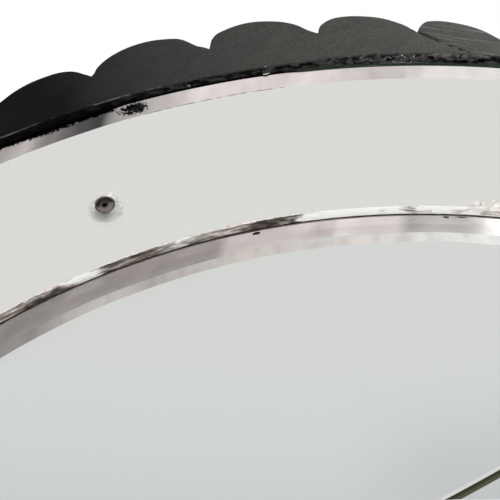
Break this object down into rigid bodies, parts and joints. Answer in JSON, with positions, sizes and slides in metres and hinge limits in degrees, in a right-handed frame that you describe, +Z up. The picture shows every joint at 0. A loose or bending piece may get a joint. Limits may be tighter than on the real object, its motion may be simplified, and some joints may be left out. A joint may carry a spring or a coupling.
{
  "type": "round wall mirror",
  "caption": "Round bevelled wall mirror: a bevelled disc inside a screwed bevelled border ring of mirror glass, in a scalloped black wood rim, hung by rings on its plywood back.",
  "frame": {"origin": "centre of the mirror on the wall plane, on the back of the cross batten", "axes": "+Z up as hung, +X to the right as seen from the front, +Y into the wall; the mirror faces -Y"},
  "size_m": [0.8664, 0.025, 0.8664],
  "materials": {
    "black_wood": "worn satin ebonised lacquer",
    "mirror_glass": "aged silvered glass, ground and polished bevels",
    "plywood": "bare plywood",
    "softwood": "sawn softwood",
    "felt": "pressed felt",
    "mastic": "dried mastic",
    "brass": "tarnished",
    "fibre": "aged fibre",
    "steel": "dulled zinc plate"
  },
  "bodies": {
    "mirror": {"backboard": "plywood", "batten_screws": "steel", "border_mirror": "mirror_glass", "border_packing": "felt", "border_screws": "brass", "border_washers": "fibre", "centre_mirror": "mirror_glass", "cross_batten": "softwood", "frame_board_1": "black_wood", "frame_board_2": "black_wood", "frame_board_3": "black_wood", "frame_board_4": "black_wood", "frame_board_5": "black_wood", "frame_board_6": "black_wood", "frame_board_7": "black_wood", "frame_board_8": "black_wood", "hanger_plate_left": "steel", "hanger_plate_right": "steel", "hanger_screws": "steel", "mastic_dabs": "mastic", "rim_screws": "steel", "upright_batten": "softwood"},
    "ring_left": {"hanger_ring_left": "steel"},
    "ring_right": {"hanger_ring_right": "steel"}
  },
  "joints": [
    {"name": "ring_left_swing", "type": "hinge", "parent": "mirror", "child": "ring_left", "pos_m": [-0.22, -0.006, 0.19], "axis": [1, 0, 0], "range_deg": [0, 180]},
    {"name": "ring_right_swing", "type": "hinge", "parent": "mirror", "child": "ring_right", "pos_m": [0.22, -0.006, 0.19], "axis": [1, 0, 0], "range_deg": [0, 180]}
  ]
}
